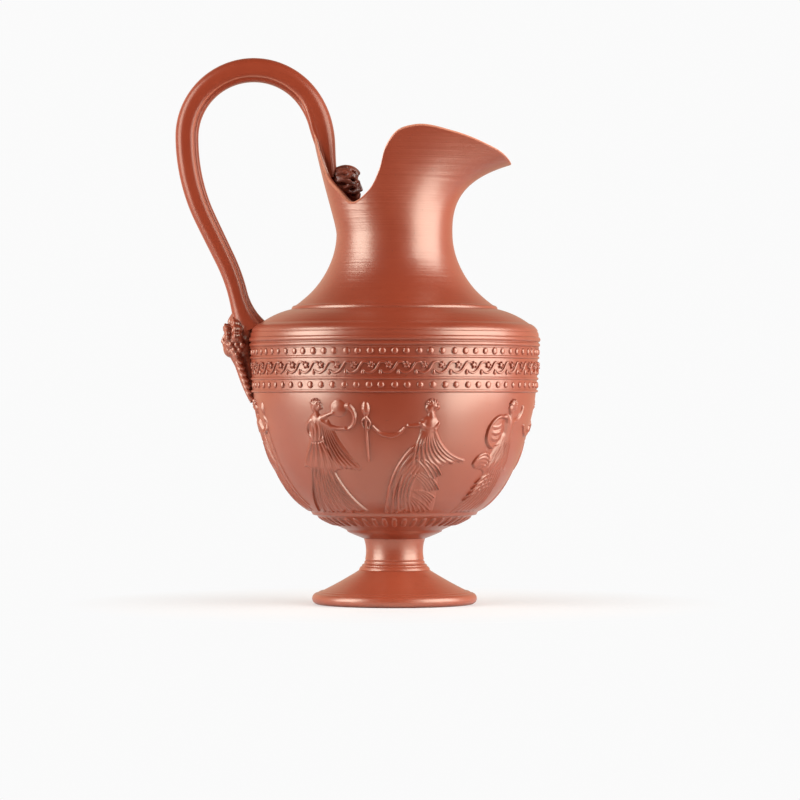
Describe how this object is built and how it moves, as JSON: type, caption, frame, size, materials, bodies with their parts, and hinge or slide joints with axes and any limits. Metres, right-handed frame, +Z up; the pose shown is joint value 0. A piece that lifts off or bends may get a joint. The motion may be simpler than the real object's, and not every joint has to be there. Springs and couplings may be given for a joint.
{
  "type": "oinochoe jug",
  "caption": "Red-clay wine jug with a pedestal foot, relief frieze of dancers, bead and vine bands, beaked mouth and a high-swung handle with masks at its ends.",
  "frame": {"origin": "on the table under the middle of the foot, on the jug's turned axis", "axes": "+Z up along the turned axis, +X towards the spout, so the handle is at -X, +Y across the jug"},
  "size_m": [0.2015, 0.1618, 0.2999],
  "materials": {
    "burnished_clay": "fired red clay, turned and burnished to a satin gloss, with fine turning lines",
    "sprigged_clay": "press-moulded red clay relief, satin, slightly worn on its high points",
    "dark_glaze": "very dark brown glossy glaze over the small head inside the rim"
  },
  "bodies": {
    "root": {"bowl": "burnished_clay", "shoulder": "burnished_clay", "neck": "burnished_clay", "handle": "burnished_clay", "foot": "burnished_clay", "upper_bead_row": "sprigged_clay", "lower_bead_row": "sprigged_clay", "vine_stem": "sprigged_clay", "vine_leaves": "sprigged_clay", "vine_buds": "sprigged_clay", "tongue_band": "sprigged_clay", "tambourine_player_front": "sprigged_clay", "sash_dancer_front": "sprigged_clay", "veil_dancer_front": "sprigged_clay", "staff_bearer_front": "sprigged_clay", "tambourine_player_back": "sprigged_clay", "sash_dancer_back": "sprigged_clay", "veil_dancer_back": "sprigged_clay", "staff_bearer_back": "sprigged_clay", "garland_swags": "sprigged_clay", "pine_staffs": "sprigged_clay", "handle_mask": "sprigged_clay", "rim_mask": "dark_glaze"}
  },
  "joints": []
}
